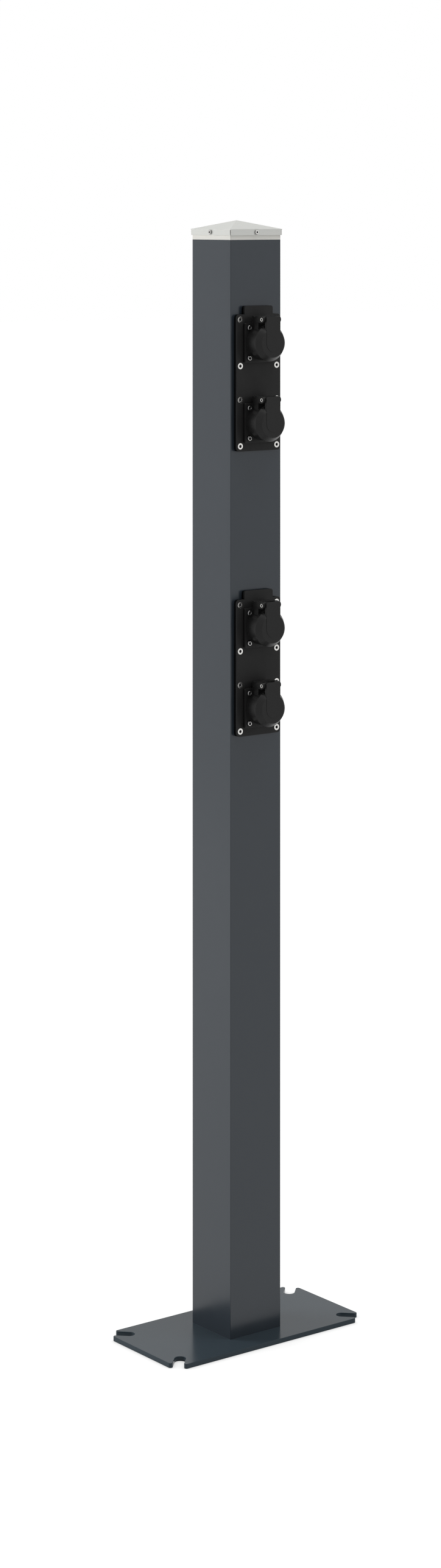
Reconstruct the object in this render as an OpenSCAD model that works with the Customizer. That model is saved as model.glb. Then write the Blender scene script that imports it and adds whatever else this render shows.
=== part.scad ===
// E-bike charging post: a square tube on a foot plate, with two plates of two lidded sockets each.
// The origin is at the bottom centre of the foot plate, +Z is up and the sockets face -Y.

/* [Foot plate] */
// Width of the foot plate, along X
foot_w = 300; // [240:5:400]
// Depth of the foot plate, along Y
foot_d = 150; // [130:5:240]
// Thickness of the foot plate
foot_t = 6; // [4:1:12]
// Width of an anchor slot
slot_w = 14; // [10:1:18]
// Distance from the plate's edges to the middle of a slot's round end
slot_inset = 21; // [16:1:26]
// Rounding of the corners beside a slot's mouth
lip_r = 3; // [1.5:0.5:4]
// Diameter of the cable hole under the tube
cable_hole_d = 50; // [30:2:60]

/* [Post] */
// Outer width of the square tube
post_w = 80; // [80:5:100]
// Wall of the square tube
post_wall = 3; // [2:0.5:4]
// Length of the square tube
post_h = 1381.5; // [1340:0.5:1600]
// Rounding of the tube's long edges
post_edge_r = 1; // [0.5:0.5:2]

/* [Cap] */
// Visible height of the pale band between tube and cover
band_h = 5.7; // [3:0.1:12]
// Height of the cover's skirt
skirt_h = 7.7; // [6:0.1:14]
// Height of the cover's pyramid above the skirt
roof_h = 11.1; // [6:0.1:30]
// Sheet thickness of the cover
sheet_t = 1.2; // [0.8:0.1:2]
// Gap between the cover's skirt and the frame inside it
cover_gap = 0.1; // [0.1:0.1:0.5]
// Width of the open seam at the skirt's corners
seam_w = 0.9; // [0.5:0.1:2]
// Wall of the frame that carries the cover
frame_wall = 4; // [3:0.5:6]
// Depth of the frame's plug in the tube
plug_h = 18; // [10:1:40]
// Gap between the frame's plug and the tube
plug_gap = 0.2; // [0.1:0.1:0.5]
// Head diameter of a cover screw
cap_head_d = 5.8; // [5:0.1:7]

/* [Socket plates] */
// Distance from a plate's side to the middle of its screws
plate_side_margin = 5.5; // [5:0.5:8]
// Distance from a plate's end to the middle of its screws
plate_end_margin = 6.65; // [5.15:0.5:12.15]
// Thickness of a socket plate
plate_t = 2.5; // [2.5:0.5:5]
// Corner radius of a socket plate
plate_corner_r = 4.5; // [2:0.5:6]
// Width of the tab on a socket plate
tab_w = 45; // [30:1:56]
// Height of the tab above the plate's edge
tab_h = 10.5; // [6:0.5:20]
// Corner radius of the tab
tab_corner_r = 3; // [1:0.5:5]
// Thickness of the gasket behind a socket plate
plate_gasket_t = 3.5; // [1:0.5:4]
// Distance from the tube's top down to the upper plate's middle
upper_plate_drop = 179.5; // [160:0.5:280]
// Distance between the middles of the two plates
plate_spacing = 358; // [320:1:420]
// Distance between the two sockets on a plate
socket_spacing = 100.7; // [98:0.1:104]
// Side of the square of plate screws round a socket
plate_screw_pitch = 58; // [57:0.5:60]
// Gap between the flange screws' middles and the sides of the opening in the post behind a plate
opening_side_gap = 4; // [3.5:0.5:5]
// Gap between the flange screws' middles and the ends of the opening
opening_end_gap = 4.65; // [3.65:0.5:6.65]
// Corner radius of the opening
opening_corner_r = 5; // [3:0.5:8]
// Head diameter of a countersunk plate screw
plate_head_d = 8.3; // [7.5:0.1:9]
// Length of a plate screw
plate_screw_l = 13; // [12:1:18]

/* [Sockets] */
// Distance from the edge of a socket's square flange to the middle of its screws
flange_margin = 6; // [5:0.5:8]
// Thickness of the flange
flange_t = 3.8; // [3:0.1:5]
// Corner radius of the flange
flange_corner_r = 1.5; // [0.5:0.5:3]
// Thickness of the gasket behind the flange
flange_gasket_t = 1.3; // [0.8:0.1:2.5]
// Side of the square of flange screws
flange_screw_pitch = 38; // [37:0.5:39]
// Head diameter of a flange screw
flange_head_d = 7.2; // [6:0.2:8]
// Length of a flange screw
flange_screw_l = 12; // [10:1:16]
// Inner diameter of the plug recess
recess_d = 39.2; // [38.5:0.1:40]
// Depth of the plug recess
recess_depth = 17.5; // [16:0.5:18]
// Wall of the collar round the plug recess
collar_wall = 2.4; // [2.2:0.1:2.8]
// Height of the collar in front of the flange
collar_h = 17.3; // [16.5:0.1:22]
// Depth of the contact insert behind the recess floor
insert_depth = 19; // [17:0.5:24]
// Wall of the skirt that goes through the socket plate
skirt_wall = 1.1; // [0.8:0.1:1.4]
// Distance between the two pin contacts
pin_pitch = 19; // [18.5:0.1:19.5]
// Bore of a pin contact
pin_bore_d = 5; // [4.8:0.1:5.4]

/* [Hinges] */
// Overall width of a hinge
hinge_w = 28; // [26.4:0.2:31]
// Width of a hinge ear
ear_t = 2.4; // [2:0.1:3]
// Radius of a hinge ear round its pin
ear_r = 4.2; // [3.8:0.1:4.6]
// Height of the pin above the collar
pin_rise = 7.5; // [7:0.1:9.5]
// Depth of the pin's middle in front of the collar
pin_front_d = 1.2; // [1:0.1:3]
// Diameter of the hinge pin
pin_d = 3.2; // [2.6:0.1:3.4]
// Diameter of the hinge pin's flared ends
pin_head_d = 5.6; // [5:0.1:6]
// Radial running gap between the pin and the lid
pin_run_gap = 0.06; // [0.02:0.01:0.09]
// Width of a lid knuckle
knuckle_w = 5.2; // [4.4:0.1:5.6]
// Wire diameter of the lid spring
spring_wire_d = 0.8; // [0.6:0.1:1]
// Mean diameter of the lid spring's coil
spring_d = 5.2; // [4.8:0.1:5.4]
// Distance between the spring's turns
spring_pitch = 1.6; // [1.5:0.1:1.7]

/* [Lids] */
// Depth of a lid from its rim to its flat front
lid_depth = 8.1; // [7.5:0.1:8.6]
// Straight height of the lid's rim
lid_rim_h = 1; // [0.8:0.1:2]
// Thickness of the lid's rim
lid_rim_t = 0.8; // [0.8:0.1:1.2]
// Gap between the lid's rim and the collar
lid_gap = 0.4; // [0.4:0.1:0.8]
// Overlap of the lid's rim over the collar
lid_lap_h = 0.5; // [0.2:0.1:0.8]
// Wall of the lid's flat front
lid_wall = 1.8; // [1.4:0.1:2.4]
// Slope length of the lid's cone, as the difference of its radii
lid_cone = 5.1; // [4:0.1:6]
// Height of the raised pad on the lid's front
pad_h = 0.3; // [0.3:0.1:0.8]
// Thickness of the lid's tongue
tongue_t = 3.7; // [3.3:0.1:4]
// Thickness of the lid's seal ring
lid_seal_t = 1.2; // [0.8:0.1:1.4]
// Gap between the closed lid's seal and the collar
seal_gap = 0.3; // [0.3:0.1:0.5]

/* [Connections] */
// Width of one terminal on the rail
terminal_w = 9.5; // [9.2:0.1:9.8]
// Height of a terminal, along Z
terminal_h = 56; // [48:1:60]
// Depth of a terminal in front of the rail
terminal_d = 36; // [32:1:38]
// Length of the terminal rail
rail_l = 60; // [58:1:68]
// Thread diameter of the rail's studs
rail_stud_d = 4; // [3:1:5]
// Thread diameter of the earth stud
earth_stud_d = 6; // [5:1:8]
// Distance of the earth stud below the rail
earth_drop = 96; // [90:1:120]
// Outer diameter of a wire
wire_d = 3.6; // [3:0.1:4]

/* [Hidden] */
$fn = 48;
fit = 0.05;
bore_gap = 0.3;
sliver = 0.01;

// Levels along the outward direction n, counted from the face of the post
n_inner = -post_wall;
n_back_wall = post_wall - post_w;
n_gasket = plate_gasket_t;
n_plate = n_gasket + plate_t;
n_flange_seat = n_plate + flange_gasket_t;
n_flange = n_flange_seat + flange_t;
n_collar = n_flange + collar_h;
n_floor = n_collar - recess_depth;
insert_lip_t = 2;
n_shoulder = n_floor - insert_lip_t;
n_insert = n_floor - insert_depth;

// Radii of a socket
recess_r = recess_d / 2;
collar_r = recess_r + collar_wall;
seat_r = recess_r + 0.8;
insert_r = seat_r - 0.15;
skirt_r = seat_r + skirt_wall;
plate_hole_r = skirt_r + bore_gap;

// Widths and heights that follow the screws
flange_w = flange_screw_pitch + 2 * flange_margin;
plate_w = plate_screw_pitch + 2 * plate_side_margin;
plate_h = socket_spacing + plate_screw_pitch + 2 * plate_end_margin;
opening_edge = 1;
opening_w = 2 * max(flange_screw_pitch / 2 + opening_side_gap, plate_hole_r + opening_edge);
opening_h = socket_spacing
    + 2 * max(flange_screw_pitch / 2 + opening_end_gap, plate_hole_r + opening_edge);

// Heights
post_top = foot_t + post_h;
skirt_z = post_top + band_h;
roof_z = skirt_z + skirt_h;
cover_half = post_w / 2 + cover_gap + sheet_t;
upper_plate_z = post_top - upper_plate_drop;
lower_plate_z = upper_plate_z - plate_spacing;
SOCKETS = [1, 2, 3, 4];
function socket_z(k) =
    (k < 3 ? upper_plate_z : lower_plate_z) + (k % 2 == 1 ? 0.5 : -0.5) * socket_spacing;

// Hinge
pin_r = pin_d / 2;
pin_v = collar_r + pin_rise;
pin_n = n_collar + pin_front_d;
block_n = n_collar - 5.5;
block_low_v = pin_v - 13.1;
block_top_v = pin_v + ear_r;
ear_in = hinge_w / 2 - ear_t;
knuckle_out = ear_in - bore_gap;
knuckle_in = knuckle_out - knuckle_w;
tongue_half = ear_in - 0.7;

// Lid
lid_r = collar_r + lid_gap + lid_rim_t;
lid_n = n_collar - lid_lap_h;
lid_front_n = lid_n + lid_depth;
lid_front_r = lid_r - lid_cone;
pad_n = lid_front_n + pad_h;
seal_out_r = collar_r - 0.4;
rim_floor_n = n_collar + seal_gap;
seal_seat_n = rim_floor_n + lid_seal_t;
seal_room_r = seal_out_r + 0.1;
lid_cut_v = sqrt(pow(seal_room_r, 2) - pow(tongue_half, 2));

// Screw shanks and their holes
m4_r = 1.95;
m4_hole_r = 2.2;
m3_r = 1.45;
hex_af = 2.5;
plate_hex_depth = 1.8;
flange_hex_depth = 1.4;
flange_head_h = 2.2;
cap_hex_af = 2;
cap_hex_depth = 1.1;
cap_head_h = 1.9;
cap_screw_l = 6;
rivet_r = 3;
rivet_flange_r = 4.5;
rivet_flange_t = 0.8;
rivet_depth = 8;
rivet_bulge_t = 1.2;
rivet_bulge_h = 1.6;

// Terminals, on the back wall of the tube
rail_z = lower_plate_z;
brim_d = 7.5;
rail_t = 1;
brim_half = 17.5;
hat_half = 12.5;
claw_t = 1;
claw_h = 2.2;
claw_hook = 1.5;
front_entry_d = 30;
rear_entry_d = 20;
stud_x = rail_l / 2 - 6;
contact_terminal_h = 12;
contact_terminal_t = 8;
n_contact_back = n_insert - 1 - contact_terminal_t;
n_wire = n_contact_back + contact_terminal_t / 2;
wire_r = wire_d / 2;
wire_clear = 0.02;
lug_t = 1.2;

// Colours of the conductors and their terminals
line_paint = [0.35, 0.22, 0.12];
earth_paint = [0.45, 0.65, 0.2];
neutral_paint = [0.2, 0.35, 0.7];
grey_paint = [0.6, 0.6, 0.6];

GENERAL = ["base_plate", "post_tube", "cap_frame", "cap_cover", "cap_screws",
    "plate_gasket_upper", "plate_gasket_lower", "socket_plate_upper", "socket_plate_lower",
    "plate_screws", "rivet_nuts", "flange_screws", "weld_studs", "terminal_rail", "rail_nuts",
    "terminal_line", "terminal_earth", "terminal_neutral", "end_stops", "earth_lug", "earth_nut",
    "wires_line", "wires_earth", "wires_neutral"];
PER_SOCKET = ["flange_gasket", "socket_housing", "contact_insert", "contacts", "earth_bow",
    "hinge_pin", "lid_spring", "lid", "lid_seal"];

// Helpers

// Turns a socket's own directions (across, up, outward) to the post's, at a height z on its face
module on_face(z) {
    translate([0, -post_w / 2, z]) rotate([90, 0, 0]) children();
}

// Flat rounded rectangle, centred
module rounded_rect(w, h, r) {
    square([w - 2 * r, h], center = true);
    square([w, h - 2 * r], center = true);
    for (x = [-1, 1], y = [-1, 1]) {
        translate([x * (w / 2 - r), y * (h / 2 - r)]) circle(r);
    }
}

// Layer of a given outline between two levels
module layer(low, high) {
    translate([0, 0, low]) linear_extrude(high - low) children();
}

// Rod between two levels
module rod(r, low, high) {
    translate([0, 0, low]) cylinder(r = r, h = high - low);
}

// Hexagonal recess or nut, by its width across flats
module hex(af, low, high) {
    translate([0, 0, low]) cylinder(r = af / sqrt(3), h = high - low, $fn = 6);
}

// Places children at the four corners of a square
module square_corners(pitch) {
    for (x = [-1, 1], y = [-1, 1]) {
        translate([x * pitch / 2, y * pitch / 2, 0]) children();
    }
}

// Places children at both sockets of a plate
module both_sockets() {
    for (s = [-1, 1]) {
        translate([0, s * socket_spacing / 2, 0]) children();
    }
}

// Places children at each socket of the post
module all_sockets() {
    for (k = SOCKETS) on_face(socket_z(k)) children();
}

// Bar along X between two positions, round, at a level and height of a socket
module cross_rod(r, x0, x1) {
    translate([x0, pin_v, pin_n]) rotate([0, 90, 0]) cylinder(r = r, h = x1 - x0);
}

// Tube along a route that lies close to a plane across X
function unit(v) = v / norm(v);
function along(route, i) =
    let (last = len(route) - 1)
    unit(route[min(i + 1, last)] - route[max(i - 1, 0)]);
function ring(p, t, r, sides) =
    let (a = unit(cross(t, [1, 0, 0])), b = cross(t, a))
    [for (i = [0 : sides - 1]) p + r * (cos(360 * i / sides) * a + sin(360 * i / sides) * b)];
module sweep(route, r, sides) {
    last = len(route) - 1;
    points = [for (i = [0 : last]) each ring(route[i], along(route, i), r, sides)];
    low_end = [for (i = [0 : sides - 1]) i];
    high_end = [for (i = [sides - 1 : -1 : 0]) last * sides + i];
    walls = [for (j = [0 : last - 1]) for (i = [0 : sides - 1])
        let (a = j * sides + i, b = j * sides + (i + 1) % sides)
        each [[a, a + sides, b + sides], [a, b + sides, b]]];
    polyhedron(points = points, faces = concat([low_end, high_end], walls), convexity = 8);
}

// Foot plate and post

module slot_outline(x, y) {
    reach = 4 * slot_inset;
    translate([x * (foot_w / 2 - slot_inset), y * (foot_d / 2 - slot_inset)])
        rotate(atan2(y, x)) {
            circle(slot_w / 2);
            translate([0, -slot_w / 2]) square([reach, slot_w]);
        }
}

// Sharp tip between a slot's side and the plate's edge, as far as it lies beyond its rounding
module lip_cut(x, y, swap) {
    // The tip lies this far from the plate's ideal corner along the edge
    run = slot_w / sqrt(2);
    tangent = lip_r / tan(22.5);
    side = (tangent + 1) / sqrt(2);
    mirror_y = swap ? 1 : 0;
    translate([x * foot_w / 2, y * foot_d / 2]) scale([x, y])
        mirror([mirror_y, -mirror_y, 0])
        difference() {
            polygon([[-run - tangent, -lip_r], [-run - side + sqrt(2), -side],
                [-run + 2, 1], [-run - tangent, 1]]);
            translate([-run - tangent, -lip_r]) circle(lip_r + sliver);
        }
}

module base_plate() {
    color([0.33, 0.34, 0.36])
    difference() {
        linear_extrude(foot_t)
            difference() {
                square([foot_w, foot_d], center = true);
                for (x = [-1, 1], y = [-1, 1]) {
                    slot_outline(x, y);
                    lip_cut(x, y, false);
                    lip_cut(x, y, true);
                }
            }
        rod(cable_hole_d / 2, -1, foot_t + 1);
    }
}

module plate_screw_places() {
    both_sockets() square_corners(plate_screw_pitch) children();
}

module both_plates() {
    for (z = [upper_plate_z, lower_plate_z]) on_face(z) children();
}

module post_tube() {
    color([0.28, 0.29, 0.31])
    difference() {
        layer(foot_t, post_top) rounded_rect(post_w, post_w, post_edge_r);
        layer(foot_t - 1, post_top + 1) square(post_w - 2 * post_wall, center = true);
        both_plates() {
            layer(n_inner - 1, 1) rounded_rect(opening_w, opening_h, opening_corner_r);
            plate_screw_places() rod(rivet_r + fit, n_inner - 1, 1);
        }
    }
}

module rivet_nuts() {
    color("silver")
    both_plates() plate_screw_places() difference() {
        union() {
            rod(rivet_flange_r, 0, rivet_flange_t);
            rod(rivet_r, -rivet_depth, rivet_flange_t);
            rod(rivet_r + rivet_bulge_t, n_inner - rivet_bulge_h, n_inner);
        }
        rod(m4_r + fit, -rivet_depth - 1, rivet_flange_t + 1);
    }
}

// Cap

module cap_frame() {
    top = roof_z - sheet_t - 0.4;
    inner = post_w - 2 * frame_wall;
    plug_w = post_w - 2 * post_wall - 2 * plug_gap;
    color([0.86, 0.86, 0.83])
    difference() {
        union() {
            layer(post_top, top) rounded_rect(post_w, post_w, post_edge_r);
            layer(post_top - plug_h, post_top) square(plug_w, center = true);
        }
        layer(post_top + 2, top + 1) square(inner, center = true);
        layer(post_top - plug_h - 1, post_top + 3) square(plug_w - 2 * frame_wall, center = true);
        on_four_sides() rod(m3_r + fit, -frame_wall - 1, 1);
    }
}

// Turns children to each side of the post, at the cover screws' height
module on_four_sides() {
    for (turn = [0 : 90 : 270]) rotate(turn) on_face(skirt_z + skirt_h / 2) children();
}

// Solid pyramid on a square of half width w, from z to z + h
module pyramid(w, z, h) {
    intersection_for (turn = [0, 90]) {
        rotate(turn) translate([-2 * w, 0, 0]) rotate([90, 0, 90])
            linear_extrude(4 * w) polygon([[-w, z], [w, z], [0, z + h]]);
    }
}

module cap_cover() {
    half = cover_half;
    slope = atan(roof_h / half);
    lift = sheet_t / cos(slope);
    inner = 2 * (half - sheet_t);
    color([0.83, 0.83, 0.81])
    difference() {
        union() {
            layer(skirt_z, roof_z) square(2 * half, center = true);
            pyramid(half, roof_z, roof_h);
        }
        layer(skirt_z - 1, roof_z - sheet_t) square(inner, center = true);
        intersection() {
            layer(skirt_z, roof_z + roof_h) square(inner, center = true);
            pyramid(half * (1 + (sheet_t - lift) / roof_h), roof_z - sheet_t - sliver,
                roof_h + sheet_t - lift);
        }
        for (turn = [45 : 90 : 315]) rotate(turn)
            translate([half * sqrt(2) - 2 * seam_w - sheet_t, -seam_w / 2, skirt_z - 1])
                cube([4 * seam_w + sheet_t, seam_w, skirt_h - sheet_t + 1]);
        on_four_sides() rod(m3_r + 0.15, -1, 2 + sheet_t + cover_gap);
    }
}

module cap_screws() {
    seat = cover_gap + sheet_t;
    front = seat + cap_head_h;
    color("silver")
    on_four_sides() difference() {
        union() {
            rod(m3_r, seat - cap_screw_l, seat + cap_head_h / 4);
            rod(cap_head_d / 2, seat, front);
        }
        hex(cap_hex_af, front - cap_hex_depth, front + 1);
    }
}

// Socket plates

module plate_outline(grow = 0) {
    rounded_rect(plate_w, plate_h, plate_corner_r);
    translate([0, tab_h / 2]) rounded_rect(tab_w, plate_h + tab_h, tab_corner_r);
}

module plate_gasket(z) {
    color([0.06, 0.06, 0.07])
    on_face(z) difference() {
        layer(0, n_gasket) plate_outline();
        layer(-1, n_gasket + 1) rounded_rect(opening_w, opening_h, opening_corner_r);
        plate_screw_places() rod(rivet_flange_r + 0.2, -1, n_gasket + 1);
    }
}

module socket_plate(z) {
    head_r = plate_head_d / 2;
    color([0.17, 0.17, 0.17])
    on_face(z) difference() {
        layer(n_gasket, n_plate) plate_outline();
        both_sockets() {
            rod(plate_hole_r, n_gasket - 1, n_plate + 1);
            square_corners(flange_screw_pitch) rod(m4_r + fit, n_gasket - 1, n_plate + 1);
        }
        plate_screw_places() {
            rod(m4_hole_r, n_gasket - 1, n_plate + 1);
            translate([0, 0, n_plate - head_r + m4_hole_r])
                cylinder(r1 = m4_hole_r + fit, r2 = head_r + fit, h = head_r - m4_hole_r);
        }
    }
}

module plate_screws() {
    head_r = plate_head_d / 2;
    color("silver")
    both_plates() plate_screw_places() difference() {
        union() {
            rod(m4_r, n_plate - plate_screw_l, n_plate - (head_r - m4_r) / 2);
            translate([0, 0, n_plate - head_r + m4_r])
                cylinder(r1 = m4_r, r2 = head_r, h = head_r - m4_r);
        }
        hex(hex_af, n_plate - plate_hex_depth, n_plate + 1);
    }
}

// Sockets

module flange_gasket() {
    color([0.06, 0.06, 0.07])
    difference() {
        layer(n_plate, n_flange_seat) rounded_rect(flange_w - 1, flange_w - 1, flange_corner_r);
        rod(plate_hole_r, n_plate - 1, n_flange_seat + 1);
        square_corners(flange_screw_pitch) rod(m4_hole_r, n_plate - 1, n_flange_seat + 1);
    }
}

// Outline of a hinge ear seen from its side, as (up, outward)
module ear_outline() {
    translate([pin_v, pin_n]) circle(ear_r);
    translate([pin_v - ear_r, n_flange]) square([2 * ear_r, pin_n - n_flange]);
}

module socket_housing() {
    groove_w = 3;
    groove_d = 1;
    color([0.17, 0.17, 0.17])
    difference() {
        union() {
            layer(n_flange_seat, n_flange) rounded_rect(flange_w, flange_w, flange_corner_r);
            rod(collar_r, n_flange_seat, n_collar);
            rod(skirt_r, n_insert, n_flange_seat + 1);
            layer(n_flange - 1, block_n) translate([-hinge_w / 2, block_low_v])
                square([hinge_w, block_top_v - block_low_v]);
            for (x = [-hinge_w / 2, hinge_w / 2 - ear_t])
                translate([x, 0, 0]) rotate([90, 0, 90]) linear_extrude(ear_t) ear_outline();
        }
        translate([0, flange_w / 2, n_flange - 2])
            translate([-hinge_w, 0, 0]) cube([2 * hinge_w, flange_w, 2]);
        translate([-hinge_w, block_top_v - groove_d, n_flange + groove_w])
            cube([2 * hinge_w, 2 * groove_d, groove_w]);
        rod(seat_r, n_insert - 1, n_shoulder);
        rod(recess_r, n_shoulder - 1, n_collar + 1);
        square_corners(flange_screw_pitch) rod(m4_hole_r, n_flange_seat - 1, n_flange + 1);
        square_corners(flange_screw_pitch) rod(flange_head_d / 2 + 0.4, n_flange, n_flange + 4);
        cross_rod(pin_r + fit, -hinge_w, hinge_w);
    }
}

module flange_screws() {
    front = n_flange + flange_head_h;
    color("silver")
    all_sockets() square_corners(flange_screw_pitch) difference() {
        union() {
            rod(m4_r, n_flange - flange_screw_l, n_flange + flange_head_h / 4);
            rod(flange_head_d / 2, n_flange, front);
        }
        hex(hex_af, front - flange_hex_depth, front + 1);
    }
}

clip_v = recess_r - 1.2;
clip_t = 0.8;
clip_w = 6;
bow_n = n_insert - clip_t;
sleeve_r = pin_bore_d / 2 + 1.1;

module contact_insert() {
    color([0.13, 0.13, 0.13])
    difference() {
        union() {
            rod(insert_r, n_insert, n_shoulder);
            rod(recess_r - 0.1, n_shoulder - 1, n_floor);
        }
        for (x = [-1, 1]) translate([x * pin_pitch / 2, 0, 0]) {
            rod(sleeve_r + fit, n_insert - 1, n_shoulder);
            rod(pin_bore_d / 2 + 0.2, n_shoulder - 1, n_floor + 1);
        }
        for (s = [-1, 1]) translate([0, s * clip_v, 0])
            layer(n_insert - 1, n_floor + 1) square([clip_w + 0.2, clip_t + 0.4], center = true);
    }
}

// Pin sleeves with the clamps that hold the line and neutral conductors behind the insert
module contacts() {
    color([0.78, 0.62, 0.3])
    for (x = [-1, 1]) translate([x * pin_pitch / 2, 0, 0]) difference() {
        union() {
            rod(sleeve_r, n_insert - 1 - sliver, n_shoulder - 0.2);
            layer(n_contact_back, n_insert - 1) square([8, contact_terminal_h], center = true);
        }
        rod(pin_bore_d / 2, n_insert + 1, n_shoulder + 1);
        translate([0, 0, n_wire]) rotate([90, 0, 0])
            cylinder(r = 1.3, h = contact_terminal_h + 2, center = true);
    }
}

// Earth bow: two clips in the recess, joined behind the insert, with its own clamp
module earth_bow() {
    clip_n = n_collar - 4;
    color([0.75, 0.75, 0.73])
    difference() {
        union() {
            layer(bow_n, n_insert) square([clip_w, 2 * clip_v + clip_t], center = true);
            for (s = [-1, 1]) translate([0, s * clip_v, 0])
                layer(bow_n, clip_n) square([clip_w, clip_t], center = true);
            for (s = [-1, 1]) translate([0, s * (clip_v - clip_t / 2), clip_n - 4])
                rotate([0, 90, 0]) cylinder(r = clip_t, h = clip_w, center = true);
            layer(n_contact_back, bow_n) square([clip_w, contact_terminal_h], center = true);
        }
        translate([0, 0, n_wire]) rotate([90, 0, 0])
            cylinder(r = 1.3, h = contact_terminal_h + 2, center = true);
    }
}

module hinge_pin() {
    end_t = 0.5;
    half = hinge_w / 2;
    color("silver")
    difference() {
        union() {
            cross_rod(pin_r, -half - end_t, half + end_t);
            cross_rod(pin_head_d / 2, -half - end_t, -half);
            cross_rod(pin_head_d / 2, half, half + end_t);
        }
        cross_rod(pin_r - 0.5, -half - end_t - 1, half + end_t + 1);
    }
}

// Lid spring: a leg from the hinge block, the coil round the pin and a leg behind the tongue
spring_turns = 5.25;
spring_steps = 8 * spring_turns;
spring_half = spring_turns * spring_pitch / 2;
function spring_point(i) =
    let (a = 360 * i / 8 - 90, r = spring_d / 2)
    [-spring_half + 2 * spring_half * i / spring_steps, pin_v + r * sin(a), pin_n + r * cos(a)];
spring_route = concat(
    [[-spring_half, pin_v - spring_d / 2, block_n + wire_clear]],
    [for (i = [0 : spring_steps]) spring_point(i)],
    [[spring_half, block_top_v - 0.8, pin_n + spring_d / 2]]);
// Least gap between the spring's own turns
echo(least_gap_between_spring_turns = min([for (i = [1 : len(spring_route) - 2])
    for (j = [i + 6 : 1 : len(spring_route) - 2])
        norm(spring_route[j] - spring_route[i])]) - spring_wire_d);

module lid_spring() {
    color("silver") sweep(spring_route, spring_wire_d / 2, 6);
}

// Outline of the tongue and its pad, seen from the front, down to a round end at the lid's middle
module tongue_outline(round_end) {
    corner_r = 2;
    translate([0, block_top_v / 2]) intersection() {
        rounded_rect(2 * tongue_half, block_top_v, corner_r);
        translate([-tongue_half, -block_top_v / 2 + corner_r])
            square([2 * tongue_half, block_top_v]);
    }
    translate([-tongue_half, 0]) square([2 * tongue_half, 2 * corner_r]);
    if (round_end) circle(tongue_half);
}

module lid_shell() {
    hollow_r = lid_front_r - 0.4;
    hollow_n = lid_front_n - lid_wall;
    rim_r = lid_r - lid_rim_t;
    rotate_extrude($fn = 96)
        polygon([[0, hollow_n], [hollow_r, hollow_n], [hollow_r, seal_seat_n],
            [seal_room_r, seal_seat_n], [seal_room_r, rim_floor_n], [rim_r, rim_floor_n],
            [rim_r, lid_n], [lid_r, lid_n], [lid_r, lid_n + lid_rim_h],
            [lid_front_r, lid_front_n], [0, lid_front_n]]);
}

module lid() {
    spring_room_r = spring_d / 2 + spring_wire_d / 2 + 0.5;
    leg_n = pin_n + spring_d / 2 + spring_wire_d / 2 + wire_clear;
    color([0.17, 0.17, 0.17])
    difference() {
        union() {
            intersection() {
                lid_shell();
                union() {
                    translate([-lid_r - 1, -lid_r - 1, lid_n - 1])
                        cube([2 * lid_r + 2, lid_r + 1 + lid_cut_v, lid_depth + 2]);
                    translate([-tongue_half, 0, lid_n - 1])
                        cube([2 * tongue_half, lid_r + 1, lid_depth + 2]);
                }
            }
            layer(lid_front_n - sliver, pad_n) tongue_outline(true);
            intersection() {
                layer(pad_n - tongue_t, pad_n) tongue_outline(false);
                translate([-lid_r, lid_cut_v - 3, 0]) cube([2 * lid_r, lid_r, 2 * pad_n]);
            }
            for (x = [-knuckle_out, knuckle_in]) cross_rod(ear_r, x, x + knuckle_w);
        }
        cross_rod(pin_r + pin_run_gap, -hinge_w, hinge_w);
        cross_rod(spring_room_r, -knuckle_in, knuckle_in);
        translate([-knuckle_in, pin_v, leg_n - spring_wire_d])
            cube([2 * knuckle_in, block_top_v, spring_wire_d]);
    }
}

module lid_seal() {
    color([0.1, 0.1, 0.1])
    rotate_extrude($fn = 96)
        translate([recess_r + 0.2, rim_floor_n])
            square([seal_out_r - recess_r - 0.2, lid_seal_t]);
}

// Connections inside the post

// Turns an outline given as (height from the rail's middle, distance from the back wall) to a
// block across the post from x0 to x1
module across(x0, x1) {
    multmatrix([[0, 0, 1, x0], [0, -1, 0, post_w / 2 - post_wall], [1, 0, 0, rail_z], [0, 0, 0, 1]])
        linear_extrude(x1 - x0) children();
}

// Hook round the rail's brims, below the body of a terminal or end stop
module claws() {
    for (s = [0, 1]) mirror([s, 0]) {
        translate([brim_half + fit, brim_d - claw_h]) square([claw_t, claw_h + claw_t]);
        translate([brim_half - claw_hook, brim_d - claw_h])
            square([claw_hook + fit + sliver, claw_h - rail_t - fit]);
    }
}

module terminal(place, paint) {
    x = place * terminal_w;
    half = terminal_h / 2;
    top = brim_d + terminal_d;
    entry_top = front_entry_d + 6;
    foot = brim_half + 3;
    heel = brim_d + 4.5;
    chamfer = 12;
    color(paint)
    across(x - terminal_w / 2, x + terminal_w / 2) {
        polygon([[-foot, brim_d + fit], [foot, brim_d + fit], [half, heel], [half, entry_top],
            [half - chamfer, top], [-half + chamfer, top], [-half, entry_top], [-half, heel]]);
        claws();
    }
}

module end_stops() {
    edge = 1.5 * terminal_w;
    thick = 5;
    half = 22;
    color([0.75, 0.75, 0.73])
    for (x = [-edge - thick, edge]) across(x, x + thick) {
        translate([-half, brim_d + fit]) square([2 * half, half]);
        claws();
    }
}

module terminal_rail() {
    color("gainsboro")
    difference() {
        across(-rail_l / 2, rail_l / 2) {
            translate([-hat_half, 0]) square([2 * hat_half, rail_t]);
            for (s = [0, 1]) mirror([s, 0]) {
                translate([hat_half - rail_t, 0]) square([rail_t, brim_d]);
                translate([hat_half - rail_t, brim_d - rail_t])
                    square([brim_half - hat_half + rail_t, rail_t]);
            }
        }
        rail_stud_places() rod(rail_stud_d / 2 + 0.3, -1, rail_t + 1);
    }
}

// Places children at the studs, pointing from the back wall to the front
module on_back_wall(x, z) {
    translate([x, post_w / 2 - post_wall, z]) rotate([90, 0, 0]) children();
}

module rail_stud_places() {
    for (x = [-stud_x, stud_x]) on_back_wall(x, rail_z) children();
}

module earth_place() {
    on_back_wall(0, rail_z - earth_drop) children();
}

rail_nut_h = 3.2;
earth_nut_h = 5;

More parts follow.
